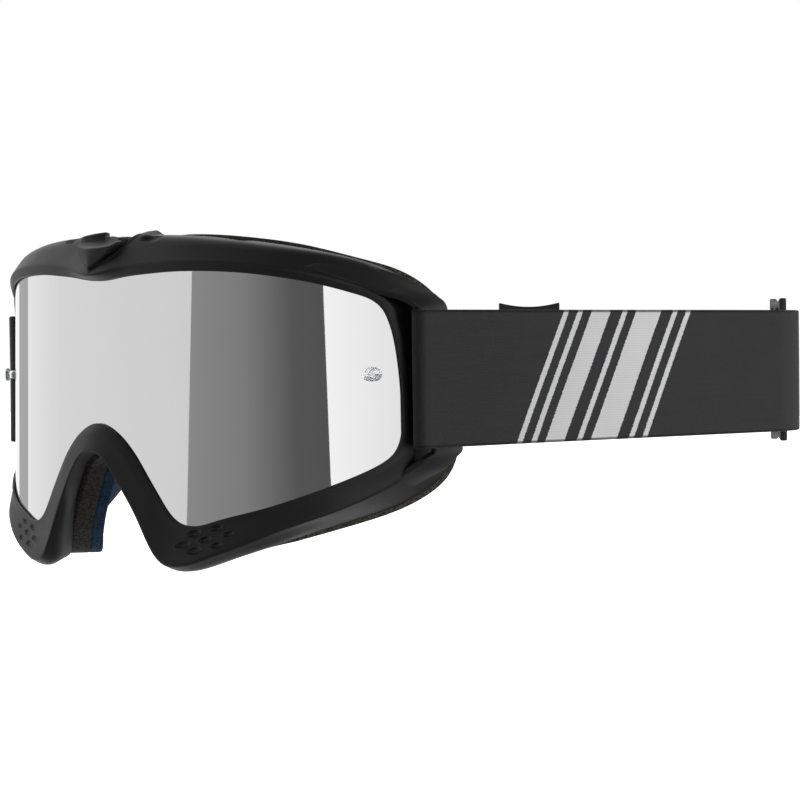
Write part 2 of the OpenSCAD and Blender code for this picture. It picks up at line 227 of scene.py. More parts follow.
def grid_mesh(name, grid, wrap_u=True, wrap_v=True, smooth=True, caps=False):
    """A mesh from a grid of points [v][u], closed in u and v as asked."""
    rows, cols = grid.shape[:2]
    v = np.arange(rows if wrap_v else rows - 1)
    u = np.arange(cols if wrap_u else cols - 1)
    vv, uu = np.meshgrid(v, u, indexing="ij")
    v2, u2 = (vv + 1) % rows, (uu + 1) % cols
    quads = np.stack([vv * cols + uu, vv * cols + u2, v2 * cols + u2, v2 * cols + uu], axis=-1)
    faces = quads.reshape(-1, 4).tolist()
    if caps:
        faces.append([r * cols for r in range(rows)])
        faces.append([r * cols + cols - 1 for r in reversed(range(rows))])
    return solid(name, to_row(grid.reshape(-1, 3)), faces, smooth)


def solid(name, verts, faces, smooth=True):
    mesh = bpy.data.meshes.new(name)
    mesh.from_pydata([tuple(p) for p in verts], [], faces)
    mesh.validate()
    bm = bmesh.new()
    bm.from_mesh(mesh)
    bpy.data.meshes.remove(mesh)
    bmesh.ops.recalc_face_normals(bm, faces=bm.faces)
    return bmesh_piece(name, bm, smooth)


def bmesh_piece(name, bm, smooth=True):
    mesh = bpy.data.meshes.new(name)
    bm.to_mesh(mesh)
    bm.free()
    mesh.polygons.foreach_set("use_smooth", [smooth] * len(mesh.polygons))
    mesh.set_sharp_from_angle(angle=CREASE)
    piece = bpy.data.objects.new(name, mesh)
    scene.collection.objects.link(piece)
    return piece


# ---- materials ------------------------------------------------------------------------
class Nodes:
    """Short names for building a node material."""

    def __init__(self, name):
        self.mat = bpy.data.materials.new(name)
        self.mat.use_nodes = True
        self.tree = self.mat.node_tree
        self.shader = self.tree.nodes["Principled BSDF"]

    def new(self, kind, **settings):
        node = self.tree.nodes.new(kind)
        for key, value in settings.items():
            setattr(node, key, value)
        return node

    def link(self, a, b):
        self.tree.links.new(a, b)

    def put(self, socket, value):
        if isinstance(value, bpy.types.NodeSocket):
            self.link(value, socket)
        else:
            socket.default_value = value

    def math(self, op, a, b=0.0, c=0.0):
        node = self.new("ShaderNodeMath", operation=op)
        for socket, value in zip(node.inputs, (a, b, c)):
            self.put(socket, value)
        return node.outputs[0]

    def place(self, kind="Object"):
        return self.new("ShaderNodeTexCoord").outputs[kind]

    def noise(self, scale, detail=3.0, rough=0.5, vector=None):
        node = self.new("ShaderNodeTexNoise")
        node.inputs["Scale"].default_value = scale
        node.inputs["Detail"].default_value = detail
        node.inputs["Roughness"].default_value = rough
        self.link(vector or self.place(), node.inputs["Vector"])
        return node.outputs["Fac"]

    def cells(self, scale, feature="F1", vector=None):
        node = self.new("ShaderNodeTexVoronoi", feature=feature)
        node.inputs["Scale"].default_value = scale
        self.link(vector or self.place(), node.inputs["Vector"])
        return node.outputs["Distance"]

    def ramp(self, fac, low, high, to_low, to_high):
        node = self.new("ShaderNodeMapRange", interpolation_type="SMOOTHSTEP")
        for socket, value in zip(node.inputs, (fac, low, high, to_low, to_high)):
            self.put(socket, value)
        return node.outputs[0]

    def mix(self, fac, a, b):
        node = self.new("ShaderNodeMix", data_type="RGBA")
        self.put(node.inputs["Factor"], fac)
        for socket, value in ((node.inputs["A"], a), (node.inputs["B"], b)):
            self.put(socket, (*value, 1) if isinstance(value, tuple) else value)
        return node.outputs["Result"]

    def bump(self, height, distance, strength=1.0, normal=None):
        node = self.new("ShaderNodeBump")
        node.inputs["Distance"].default_value = distance
        node.inputs["Strength"].default_value = strength
        self.put(node.inputs["Height"], height)
        if normal:
            self.link(normal, node.inputs["Normal"])
        return node.outputs["Normal"]

    def finish(self, color=None, rough=None, normal=None, **values):
        for name, value in (("Base Color", color), ("Roughness", rough), ("Normal", normal)):
            if value is not None:
                self.put(self.shader.inputs[name], value)
        for name, value in values.items():
            self.shader.inputs[name.replace("_", " ")].default_value = value
        return self.mat


def moulded_plastic(name, dark, light, rough):
    """Satin moulded plastic: fine grain, soft cloudy sheen, and convex edges painted paler as a painted
    highlight.
    """
    n = Nodes(name)
    cloud = n.noise(38.0, 4.0)
    # Convex edges, found by pointiness, and the specks on them are painted paler: a painted highlight
    # along the edges.
    edge = n.ramp(n.new("ShaderNodeNewGeometry").outputs["Pointiness"], 0.52, 0.60, 0.0, 0.35)
    speck = n.ramp(n.noise(420.0, 2.0), 0.60, 0.75, 0.0, 0.25)
    painted_edge_highlight = n.math("MAXIMUM", n.math("MULTIPLY", edge, cloud), n.math("MULTIPLY", speck, edge))
    color = n.mix(painted_edge_highlight, n.mix(cloud, dark, light), tuple(2.2 * c for c in light))
    roughness = n.ramp(cloud, 0.3, 0.7, rough - 0.05, rough + 0.06)
    fine = n.bump(n.noise(2600.0, 2.0), 0.00004, 0.6)
    return n.finish(color, roughness, n.bump(n.noise(90.0, 2.0), 0.00008, 0.3, fine),
                    Specular_IOR_Level=0.45)


def mirror_coating():
    """Silver mirror with faint smudges."""
    n = Nodes("mirror_lens")
    smudge = n.noise(22.0, 5.0, 0.6)
    color = n.mix(smudge, (0.88, 0.88, 0.89), (0.93, 0.93, 0.94))
    return n.finish(color, n.ramp(smudge, 0.35, 0.75, 0.02, 0.045), Metallic=1.0)


def clear_plastic():
    n = Nodes("clear_plastic")
    haze = n.noise(300.0, 2.0)
    color = n.mix(haze, (0.88, 0.90, 0.92), (0.96, 0.97, 0.98))
    return n.finish(color, n.ramp(haze, 0.3, 0.7, 0.04, 0.12), Transmission_Weight=0.85, IOR=1.49)


def open_cell_foam(name, dark, light, cell=1350.0):
    """Foam with small open cells and uneven tone."""
    n = Nodes(name)
    warped = n.new("ShaderNodeVectorMath", operation="ADD")
    jitter = n.new("ShaderNodeVectorMath", operation="SCALE")
    wobble = n.new("ShaderNodeTexNoise")
    wobble.inputs["Scale"].default_value = 900.0
    n.link(n.place(), wobble.inputs["Vector"])
    n.link(wobble.outputs["Color"], jitter.inputs[0])
    jitter.inputs["Scale"].default_value = 0.0006
    n.link(n.place(), warped.inputs[0])
    n.link(jitter.outputs[0], warped.inputs[1])
    cells = n.cells(cell, vector=warped.outputs[0])
    big = n.cells(cell * 0.45, vector=warped.outputs[0])
    pores = n.math("MULTIPLY", n.ramp(cells, 0.05, 0.5, 0.0, 1.0), n.ramp(big, 0.05, 0.4, 0.4, 1.0))
    cloud = n.ramp(n.noise(160.0, 3.0), 0.3, 0.7, 0.7, 1.0)
    grit = n.ramp(n.noise(1300.0, 2.0), 0.36, 0.66, 0.35, 1.15)
    tone = n.math("MULTIPLY", pores, n.math("MULTIPLY", cloud, grit))
    normal = n.bump(pores, 0.0003, 0.8)
    return n.finish(n.mix(tone, dark, light), 0.95, n.bump(n.noise(300.0, 3.0), 0.0003, 0.4, normal),
                    Specular_IOR_Level=0.12, Sheen_Weight=0.25, Sheen_Roughness=0.6)


def woven_webbing(name, dark, light, pattern=False):
    """Elastic webbing. The UV map holds millimetres along and across the strap."""
    n = Nodes(name)
    uv = n.new("ShaderNodeSeparateXYZ")
    n.link(n.place("UV"), uv.inputs[0])
    along, across = uv.outputs[0], uv.outputs[1]
    turn = 2 * math.pi
    warp = n.math("SINE", n.math("MULTIPLY", across, turn / 0.85))
    weft = n.math("SINE", n.math("MULTIPLY", along, turn / 0.72))
    basket = n.math("MULTIPLY", warp, weft)
    rib = n.math("MULTIPLY_ADD", basket, 0.25, 0.5)
    long_rib = n.math("MULTIPLY_ADD", warp, 0.06, rib)
    cloud = n.noise(55.0, 3.0)
    streaks = n.new("ShaderNodeCombineXYZ")
    n.put(streaks.inputs[0], n.math("MULTIPLY", along, 0.02))
    n.put(streaks.inputs[1], n.math("MULTIPLY", across, 1.1))
    stripe = n.noise(1.0, 2.0, 0.6, streaks.outputs[0])
    tone = n.math("MULTIPLY_ADD", long_rib, 0.55, n.math("MULTIPLY", n.math("ADD", cloud, stripe), 0.25))
    color = n.mix(tone, dark, light)
    if pattern:
        ink = n.mix(n.ramp(long_rib, 0.2, 0.8, 0.0, 1.0), (0.66, 0.66, 0.66), (0.93, 0.93, 0.93))
        color = n.mix(slanted_bars(n, along, across), color, ink)
    # The last millimetre along each edge of the strap is painted darker: painted shade on the rounded
    # edges.
    painted_edge_shade = n.ramp(n.math("ABSOLUTE", across), STRAP_W / 2 - 1.1, STRAP_W / 2 - 0.7, 0.0, 0.75)
    color = n.mix(painted_edge_shade, color, tuple(0.3 * c for c in dark))
    normal = n.bump(long_rib, 0.00018, 0.8)
    return n.finish(color, 0.82, n.bump(n.noise(1500.0, 2.0), 0.00006, 0.5, normal),
                    Specular_IOR_Level=0.25, Sheen_Weight=0.12, Sheen_Roughness=0.5)


# Printed bars: (start along the strap, width) in mm at the lower edge, all leaning back
BARS = ((88, 3), (96, 3), (104, 11), (122, 3), (130, 15), (152, 3), (160, 3))
BAR_LEAN = 0.62       # how far a bar leans back for each mm across the strap


def slanted_bars(n, along, across):
    """Mask of generic slanted bars with an edge broken up by the weave."""
    ragged = n.math("MULTIPLY_ADD", n.noise(1.6, 1.0, 0.5, n.place("UV")), 1.1, -0.55)
    place = n.math("ADD", n.math("MULTIPLY_ADD", across, -BAR_LEAN, along), ragged)
    mask = None
    for start, width in BARS:
        off = n.math("ABSOLUTE", n.math("SUBTRACT", place, start + width / 2))
        bar = n.ramp(off, width / 2 - 0.12, width / 2 + 0.12, 1.0, 0.0)
        mask = bar if mask is None else n.math("MAXIMUM", mask, bar)
    return mask


def soft_rubber():
    """Silicone of the grip lines."""
    n = Nodes("silicone")
    cloud = n.noise(120.0, 2.0)
    return n.finish(n.mix(cloud, (0.03, 0.03, 0.034), (0.06, 0.06, 0.065)),
                    n.ramp(cloud, 0.3, 0.7, 0.35, 0.5), n.bump(cloud, 0.0001, 0.4))


PLASTIC = moulded_plastic("frame_plastic", (0.010, 0.010, 0.010), (0.017, 0.017, 0.017), 0.45)
SLIDER_PLASTIC = moulded_plastic("slider_plastic", (0.014, 0.014, 0.014), (0.024, 0.024, 0.024), 0.5)
MIRROR = mirror_coating()
CLEAR = clear_plastic()
DARK_FOAM = open_cell_foam("dark_foam", (0.020, 0.018, 0.015), (0.17, 0.155, 0.13))
BLUE_FOAM = open_cell_foam("blue_foam", (0.006, 0.018, 0.042), (0.045, 0.14, 0.30))
FILTER_FOAM = open_cell_foam("filter_foam", (0.004, 0.004, 0.004), (0.05, 0.05, 0.05), 620.0)
WEBBING = woven_webbing("webbing", (0.0195, 0.0195, 0.0205), (0.052, 0.052, 0.0545), pattern=True)
# A darker copy of the webbing for the return layers and the slider loops: painted shade on the same
# webbing.
SHADED_WEBBING = woven_webbing("webbing_shaded", (0.008, 0.008, 0.009), (0.028, 0.028, 0.03))
SILICONE = soft_rubber()


def dress(piece, material, body):
    """Gives a piece its material and slot, and makes it ride on a body."""
    piece.data.materials.clear()
    piece.data.materials.append(material)
    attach(piece, body)
    return piece


# ---- frame ------------------------------------------------------------------------------
LOBE_OUT = 3.0        # belly of the lower edge below the front lip
# Centre intake, by distance above the ridge: half width, then height and depth of its middle
INTAKE = np.array([
    [1.2, 0.1, -5.4, 42.9], [3.8, 4.0, -5.2, 45.2], [6.5, 7.5, -5.0, 47.5],
    [8.8, 9.4, -4.7, 49.5], [9.8, 10.1, -3.6, 50.0], [11.4, 11.0, -1.7, 50.1],
    [12.9, 11.6, 0.2, 50.2], [17, 10.8, 5.0, 50.6], [21, 9.6, 10.0, 51.2],
    [25.5, 12.2, 15.0, 52.1], [31, 14.0, 20.0, 53.0],
])
BOW = 0.36            # how fast the intake's face falls back from its middle
RIM_RISE = 1.9        # highest part of the raised rim beside the intake
RIM_START, RIM_END = 3.0, 16.0   # depths between which that rim rises; it ends in a step
DIMPLE_AT = (41.3, -45.2)
DIMPLE_ROW = np.array([6.9, 1.85])
DIMPLE_RISE = np.array([-0.4, 2.75])


def belly():
    """Ring between the front edge and the flange, where the moulding is fullest."""
    z = front_edge[:, 2]
    out = outward(front_edge[:, [0, 2]])
    low = LOBE_OUT * np.clip((-28 - z) / 8, 0, 1) * np.clip(-out[:, 1], 0, 1)
    low *= 1 - step_up(np.abs(front_edge[:, 0]), 52, 70)
    top = 0.9 * step_up(z, 38, 46)
    ring = front_edge + 0.36 * (flange - front_edge)
    return soften(ring + (low + top)[:, None] * np.stack([out[:, 0], 0 * z, out[:, 1]], axis=1), 6)


def frame_grid():
    """The moulding's rings, round its profile from the lip beside the lens."""
    f_in = flange + FLANGE_W * inward
    lip = -0.25 - 0.9
    round_top = 1.2 + 1.6 * step_up(front_edge[:, 2], 20, 45)
    corners = [
        (beside(0.0, lip), 0.35, 2),
        (ridge, 0.9, 34),
        (front_edge, round_top, 8),
        (belly(), 4.0, 22),
        (flange, 1.2, 3),
        (f_in, 0.7, 1),
        (f_in - 2.0 * faceward, 0.5, 1),
        (flange + 3.0 * inward - 3.0 * faceward, 1.0, 3),
        (beside(4.6, 4.0), 0.6, 1),
        (beside(0.8, 3.4), 0.3, 1),
        (beside(0.8, 1.85), 0.0, 1),
        (beside(3.2, 1.85), 0.0, 1),
        (beside(3.2, -0.25), 0.0, 1),
        (beside(0.0, -0.25), 0.2, 1),
    ]
    return filleted(corners)


def grid_normals(grid):
    du = np.roll(grid, -1, axis=1) - np.roll(grid, 1, axis=1)
    dv = np.roll(grid, -1, axis=0) - np.roll(grid, 1, axis=0)
    n = np.cross(du, dv)
    n /= np.maximum(np.linalg.norm(n, axis=2), 1e-9)[..., None]
    return n


LIP_ROW, CHEEK_ROW = 7, 50   # rings of the front face, with the lip beside the lens
RIDGE_ROW = 14        # first ring behind the ridge's fillet
FLANGE_ROW = 84       # last ring before the flange


def carve_front(grid):
    """Shapes the intake, its rims and scoops, and the cheek dimples in the outer surface."""
    n = grid_normals(grid)
    centre = grid.mean(axis=(0, 1))
    outer = grid[RIDGE_ROW:FLANGE_ROW]
    if np.sum(n[20:30] * (grid[20:30] - centre)) < 0:
        n = -n
    normal = n[RIDGE_ROW:FLANGE_ROW]
    x, y, z = np.moveaxis(outer, 2, 0)
    steps = np.linalg.norm(np.diff(outer, axis=0, prepend=outer[:1]), axis=2)
    q = np.cumsum(steps, axis=0)
    top = z > 30
    away = np.abs(x)
    half = np.interp(q, INTAKE[:, 0], INTAKE[:, 1])
    rim = np.exp(-((away - half - 0.7) / 0.6) ** 2) * step_up(q, 2, 5)
    lift = 0.45 * rim * (1 - step_up(q, 12, 16))
    rise = RIM_RISE * np.clip((y - RIM_START) / (RIM_END - RIM_START), 0, 1)
    rise *= 1 - step_up(y, RIM_END, RIM_END + 0.7)
    lift += rise * step_up(away - half, -0.6, 0.4) * (1 - step_up(away - half, 2.0, 5.5))
    scoop = ((away - 18.2) / 3.2) ** 2 + ((q - 10.6) / 1.8) ** 2
    sink = 1.2 * (1 - step_up(scoop, 0.5, 1.05))
    move = (lift - sink) * top
    outer = outer + move[..., None] * normal
    grid[RIDGE_ROW:FLANGE_ROW] = np.where(top[..., None], intake(outer, q, half), outer)
    face = grid[LIP_ROW:CHEEK_ROW]
    face += dimples(*np.moveaxis(face, 2, 0))[..., None] * n[LIP_ROW:CHEEK_ROW]
    return grid


def dimples(x, y, z):
    """Height of the cheek dimples: shallow ovals with a raised lower rim."""
    height = 0 * x
    away = np.abs(x)
    for row, col in ((-1, -0.5), (-1, 0.5), (0, -1), (0, 0), (0, 1), (1, -0.5), (1, 0.5)):
        dx, dz = np.array(DIMPLE_AT) + col * DIMPLE_ROW + row * DIMPLE_RISE
        size = 1.0 - 0.16 * (col + 0.3)
        u = (away - dx) * 0.96 + (z - dz) * 0.26
        v = -(away - dx) * 0.26 + (z - dz) * 0.96
        oval = np.sqrt((u / (2.1 * size)) ** 2 + (v / (1.05 * size)) ** 2)
        rim = 0.20 * np.exp(-((oval - 1.12) / 0.13) ** 2) * (0.45 + 0.55 * np.clip(-v, 0, 1))
        height += rim - 0.62 * (1 - step_up(oval, 0.55, 1.05))
    return height * (y < 22) * (z < -36)


def intake(outer, q, half):
    """A bow-shaped face that rises from the ridge to a lip, with a shallow bowl behind it."""
    x, y, z = np.moveaxis(outer, 2, 0)
    away = np.abs(x)
    inside = (1 - step_up(away / half, 0.82, 1.0)) * (1 - step_up(q, 26, 32))
    nose = 0.3 + 2.4 * step_up(q, 3, 9)
    fall_back = BOW * (np.sqrt(away**2 + nose**2) - nose) * (1 - step_up(q, 12, 26))
    y_in = np.interp(q, INTAKE[:, 0], INTAKE[:, 2]) + fall_back
    z_in = np.interp(q, INTAKE[:, 0], INTAKE[:, 3]) + 0.02 * away**2 * step_up(q, 6, 11)
    return np.stack([x, y + inside * (y_in - y), z + inside * (z_in - z)], axis=2)


# Edges of the outrigger's outer face, from the brow round the bar to the cheek
WING_FRONT = [
    [62, 24, 43.5], [70, 26.8, 42.2], [78.5, 35.6, 38.2], [82.2, 39.5, 36.8], [85.6, 43.8, 35.2],
    [88.8, 48.4, 33.7], [91.8, 52.6, 31], [93.2, 54.3, 27], [93.3, 54.4, 18], [93.3, 54.4, 6],
    [93.3, 54.4, -6], [93.3, 55, -12], [93, 61.3, -16.6], [92, 58.7, -19], [90.5, 56.6, -20.9],
    [88, 54.2, -23.2], [84, 50.8, -26.1], [79.5, 47.1, -29.2], [75, 43.5, -32.2],
    [68, 38.6, -36.4], [60, 33, -41],
]
WING_REAR = [
    [62, 30, 45.5], [70, 34.4, 45.6], [77.5, 44.5, 44], [83.5, 54.7, 40.9], [86, 58.4, 38.8],
    [88.8, 62.7, 36.1], [90.6, 65.8, 33.9], [92.4, 68.6, 29.9], [93, 68.8, 18], [93.1, 68.8, 6],
    [93.1, 68.8, -6], [93.1, 70, -11], [93, 76, -15.9], [91.8, 73, -19.7], [90, 70.6, -22.6],
    [86.5, 66.1, -25.8], [82, 62.3, -29.3], [77.5, 58.5, -32.8], [73, 54.8, -35.8],
    [66, 49.4, -39.4], [58, 43, -42],
]
WING_THICK = 2.1
WING_SHIFT = np.array([1.6, -1.9, 0.0])   # puts the bar inside the fold


def to_fold(points):
    """Moves the bar end of a wing edge into the strap's fold."""
    points = np.array(points, float)
    share = step_up(points[:, 0], 82.0, 93.0)[:, None]
    return points + share * WING_SHIFT


def open_curve(points, per_span=12):
    points = np.array(points, float)
    padded = np.concatenate([[2 * points[0] - points[1]], points, [2 * points[-1] - points[-2]]])
    t = (np.arange(per_span) / per_span)[None, :, None]
    a, b, c, d = (padded[k:len(padded) - 3 + k][:, None, :] for k in range(4))
    curve = 0.5 * (2 * b + (c - a) * t + (2 * a - 5 * b + 4 * c - d) * t**2
                   + (3 * b - a - 3 * c + d) * t**3)
    return np.concatenate([curve.reshape(-1, 3), points[-1:]])


def outrigger(side):
    a, b = open_curve(to_fold(WING_FRONT)), open_curve(to_fold(WING_REAR))
    along = np.gradient(a, axis=0) + np.gradient(b, axis=0)
    face = np.cross(along, b - a)
    face /= np.linalg.norm(face, axis=1)[:, None]
    face *= np.sign(face[:, :1])
    mid = 0.5 * (a + b) + 0.7 * face
    grid = filleted([(a, 0.8, 4), (mid, 5.0, 4), (b, 0.9, 2),
                     (b - WING_THICK * face, 0.8, 6), (a - WING_THICK * face, 0.8, 2)])
    grid = grid * [side, 1, 1]
    return grid_mesh(f"outrigger_{'left' if side > 0 else 'right'}_shell", grid,
                     wrap_u=False, caps=True)


# Top vents through the frame: middle, size along and across, and lean in degrees
VENTS = (((0, 19.5, 50), 18, 7, 0), ((-36, 22.5, 49.5), 20, 7, 5), ((36, 22.5, 49.5), 20, 7, -5))


def vent_cutter(k, middle, long, wide, lean):
    """An upright prism with rounded corners, as big as one vent."""
    n, square, half_height = 48, 0.35, 8
    a = np.linspace(0, 2 * math.pi, n, endpoint=False)
    c, s = np.cos(a), np.sin(a)
    x = long / 2 * np.sign(c) * np.abs(c) ** square
    y = wide / 2 * np.sign(s) * np.abs(s) ** square
    ends = [np.stack([x, y, 0 * x + h], axis=1) for h in (-half_height, half_height)]
    t = math.radians(lean)
    turn = np.array([[math.cos(t), 0, -math.sin(t)], [0, 1, 0], [math.sin(t), 0, math.cos(t)]])
    sides = [[i, (i + 1) % n, n + (i + 1) % n, n + i] for i in range(n)]
    faces = sides + [list(range(n))[::-1], list(range(n, 2 * n))]
    return solid(f"vent_cutter_{k}", to_row(np.concatenate(ends) @ turn.T + middle), faces)


def cut_vents(piece):
    """Cuts the top vents through the moulding."""
    cutters = [vent_cutter(k, *vent) for k, vent in enumerate(VENTS)]
    for cutter in cutters:
        cut = piece.modifiers.new(cutter.name, "BOOLEAN")
        cut.operation, cut.solver, cut.object = "DIFFERENCE", "EXACT", cutter
    graph = bpy.context.evaluated_depsgraph_get()
    mesh = bpy.data.meshes.new_from_object(piece.evaluated_get(graph))
    piece.modifiers.clear()
    piece.data = mesh
    mesh.set_sharp_from_angle(angle=CREASE)
    for cutter in cutters:
        bpy.data.meshes.remove(cutter.data)
    return piece


frame_piece = cut_vents(grid_mesh("frame_moulding", carve_front(frame_grid())))
dress(frame_piece, PLASTIC, "frame")
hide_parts("frame_shell")
for side, word in ((1, "left"), (-1, "right")):
    wing = dress(outrigger(side), PLASTIC, "frame")
    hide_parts(f"outrigger_{word}")


# ---- lens ---------------------------------------------------------------------------------
def lens_piece():
    """A cylindrical sheet whose edge lies in the frame's groove."""
    edge = flat_open + LENS_EDGE * flat_out
    s_max = edge[:, 0].max() - 0.2
    upper = edge[flat_out[:, 1] > 0.05]
    lower = edge[flat_out[:, 1] < -0.05]
    upper, lower = (p[np.argsort(p[:, 0])] for p in (upper, lower))
    s = s_max * np.sin(np.linspace(-math.pi / 2, math.pi / 2, 181))
    hi = np.interp(s, upper[:, 0], upper[:, 1])
    lo = np.interp(s, lower[:, 0], lower[:, 1])
    t = np.linspace(0, 1, 13)[:, None]
    z = lo + (hi - lo) * t
    rows = [np.stack([r * np.sin(s / LENS_R), LENS_R - r * np.cos(s / LENS_R), h], axis=1)
            for r, heights in ((LENS_R, z), (LENS_R - LENS_T, z[::-1])) for h in heights]
    return grid_mesh("mirror_lens_sheet", np.array(rows), wrap_u=False, caps=True)


lens = lens_piece()
dress(lens, MIRROR, "frame")
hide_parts("lens")


# ---- posts --------------------------------------------------------------------------------
POST_ANGLE = math.radians(55.5)
POST_Z = 8.3


def turned(outline):
    """Rings of points of a solid of revolution about +Z, from [radius, height] points."""
    a = np.linspace(0, 2 * math.pi, 48, endpoint=False)
    return np.array([np.stack([r * np.cos(a), r * np.sin(a), np.full_like(a, h)], axis=1)
                     for r, h in outline])


def at_post(grid, side):
    """Post coordinates (X round the lens, Y up, Z out of it) to lens coordinates."""
    x, y, z = np.moveaxis(grid, 2, 0)
    sn, cs = math.sin(POST_ANGLE), math.cos(POST_ANGLE)
    px = side * (sn * (LENS_R + z) + cs * x)
    py = LENS_R - cs * (LENS_R + z) + sn * x
    return np.stack([px, py, POST_Z + y], axis=2)


def round_profile(points):
    """The outline with every corner but its two ends rounded."""
    rings = [(np.array([[p[0], p[1], 0.0]]), 0.25 if 0 < i < len(points) - 1 else 0, 1)
             for i, p in enumerate(points)]
    return filleted(rings, closed=False)[:, 0, :2]


POST_OUTLINE = [
    (0.02, -2.8), (1.4, -2.8), (1.4, 0.1), (2.35, 0.1), (2.35, 0.9), (1.4, 1.4),
    (1.35, 3.9), (2.2, 4.4), (2.25, 5.3), (0.02, 5.3),
]
RETAINER_OUTLINE = [(1.5, -2.5), (3.4, -2.5), (3.4, -1.7), (1.5, -1.7)]

for side, word in ((1, "left"), (-1, "right")):
    for part, outline in (("tearoff_post", POST_OUTLINE), ("post_retainer", RETAINER_OUTLINE)):
        rings = at_post(turned(round_profile(outline)), side)
        piece = grid_mesh(f"{part}_{word}_turned", rings, wrap_v=part == "post_retainer")
        dress(piece, CLEAR, "frame")
        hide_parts(f"{part}_{word}")


# ---- foam ---------------------------------------------------------------------------------
def foam_grid(start, end, soft_edge):
    """Foam ring on the flange, from one distance off it to another. It is thinner beside
    the nose and along the cheeks."""
    x, z = np.abs(flange[:, 0]), flange[:, 2]
    foot = np.clip((-34 - z) / 14, 0, 1) * np.clip((52 - x) / 16, 0, 1)
    low = np.clip((-5 - z) / 10, 0, 1) * np.clip((84 - x) / 14, 0, 1)
    thin = 1 - FOAM_THIN * soften(low[:, None], 8)
    start, end = start * thin, end * thin
    a = flange + (FOAM_INSET + 1.8 * soften(foot[:, None], 4)) * inward
    b = a + FOAM_W * inward
    mid = 0.5 * (a + b)
    return filleted([
        (a + start * faceward, 0.3, 3),
        (a + end * faceward, soft_edge, 3),
        (mid + (end + 0.25 * soft_edge) * faceward, 2.0, 3),
        (b + end * faceward, soft_edge, 3),
        (b + start * faceward, 0.3, 5),
    ])


base = grid_mesh("base_foam_ring", foam_grid(0.05, BASE_FOAM_T, 0.5))
dress(base, DARK_FOAM, "frame")
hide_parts("foam_base")
fleece = grid_mesh("face_foam_ring", foam_grid(BASE_FOAM_T + 0.2, BASE_FOAM_T + FLEECE_T, 1.6))
dress(fleece, BLUE_FOAM, "frame")
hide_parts("foam_fleece")


# ---- strap --------------------------------------------------------------------------------
SLIDER_MID = np.array([
    STRAP_X - TURN_R * (1 - math.cos(TURN_A)) - SLIDE_RUN * math.sin(TURN_A),
    TURN_Y + TURN_R * math.sin(TURN_A) + SLIDE_RUN * math.cos(TURN_A)])
REAR_R = (SLIDER_MID[0] - SLIDE_RUN * math.sin(TURN_A)) / math.cos(TURN_A)
REAR_Y = SLIDER_MID[1] + SLIDE_RUN * math.cos(TURN_A) - REAR_R * math.sin(TURN_A)


def level_to_strap(points):
    """Tips points drawn on a level strap, with its middle at z = 0, into place."""
    p = np.array(points, float)
    y, z = p[..., 1] - PIVOT[1], p[..., 2]
    c, s = math.cos(STRAP_RISE), math.sin(STRAP_RISE)
    out = p.copy()
    out[..., 1] = PIVOT[1] + c * y - s * z
    out[..., 2] = PIVOT[2] + s * y + c * z
    return out


def arc_points(centre, radius, a0, a1, step):
    n = max(2, int(math.ceil(abs(a1 - a0) * radius / step)))
    a = a0 + (a1 - a0) * np.arange(1, n + 1) / n
    return np.stack([centre[0] + radius * np.cos(a), centre[1] + radius * np.sin(a)], axis=1)


def run_points(start, end, step):
    n = max(1, int(math.ceil(np.linalg.norm(np.subtract(end, start)) / step)))
    t = np.arange(1, n + 1)[:, None] / n
    return (1 - t) * np.array(start) + t * np.array(end)


def side_x(y):
    """Outer face of the webbing beside the head: it stands further out near the fold."""
    return STRAP_X + FLARE * np.clip((FLARE_Y - y) / (FLARE_Y - FOLD_Y), 0, 1)


def outer_path(step=2.0):
    """Plan of the outer layer's middle line: from the left fold's inner end, round the
    fold, back, behind the head and forward to the right fold's inner end."""
    r = FOLD_R - STRAP_T / 2
    fold = (STRAP_X + FLARE - FOLD_R, FOLD_Y + FOLD_R)
    y = np.arange(fold[1] + 20.0, TURN_Y, step)
    beside_head = np.stack([side_x(y) - STRAP_T / 2, y], axis=1)
    turn = (STRAP_X - TURN_R, TURN_Y)
    p1 = np.array([turn[0] + (TURN_R - STRAP_T / 2) * math.cos(TURN_A),
                   turn[1] + (TURN_R - STRAP_T / 2) * math.sin(TURN_A)])
    p2 = p1 + 2 * SLIDE_RUN * np.array([-math.sin(TURN_A), math.cos(TURN_A)])
    left = np.concatenate([
        [[fold[0] - r, fold[1] + FOLD_RUN]],
        run_points([fold[0] - r, fold[1] + FOLD_RUN], [fold[0] - r, fold[1]], step),
        arc_points(fold, r, math.pi, 2 * math.pi, 0.6),
        run_points([fold[0] + r, fold[1]], beside_head[0], step), beside_head[1:],
        arc_points(turn, TURN_R - STRAP_T / 2, 0, TURN_A, step),
        run_points(p1, p2, step),
        arc_points((0, REAR_Y), REAR_R - STRAP_T / 2, TURN_A, math.pi / 2, step),
    ])
    return np.concatenate([left, left[-2::-1] * [-1, 1]])


PLAIN_SIDE = 2000.0   # shift along the UV map that keeps the print off the inner face


def along_path(path):
    """Distance along a plan path and the direction to its outer side, at each point."""
    tangent = np.gradient(path, axis=0)
    tangent /= np.linalg.norm(tangent, axis=1)[:, None]
    normal = np.stack([tangent[:, 1], -tangent[:, 0]], axis=1)
    return np.concatenate([[0], np.cumsum(np.linalg.norm(np.diff(path, axis=0), axis=1))]), normal


def webbing_section(width, thick):
    """[depth, height] points round a flat section with rounded selvedges."""
    h, t = width / 2, thick / 2
    flat = np.linspace(-h + t, h - t, 24)
    upper = np.linspace(0.3, math.pi - 0.3, 6)
    lower = np.linspace(math.pi + 0.3, 2 * math.pi - 0.3, 6)
    section = [(t, z) for z in flat]
    section += [(t * math.cos(a), h - t + t * math.sin(a)) for a in upper]
    section += [(-t, z) for z in flat[::-1]]
    return section + [(t * math.cos(a), -h + t + t * math.sin(a)) for a in lower]


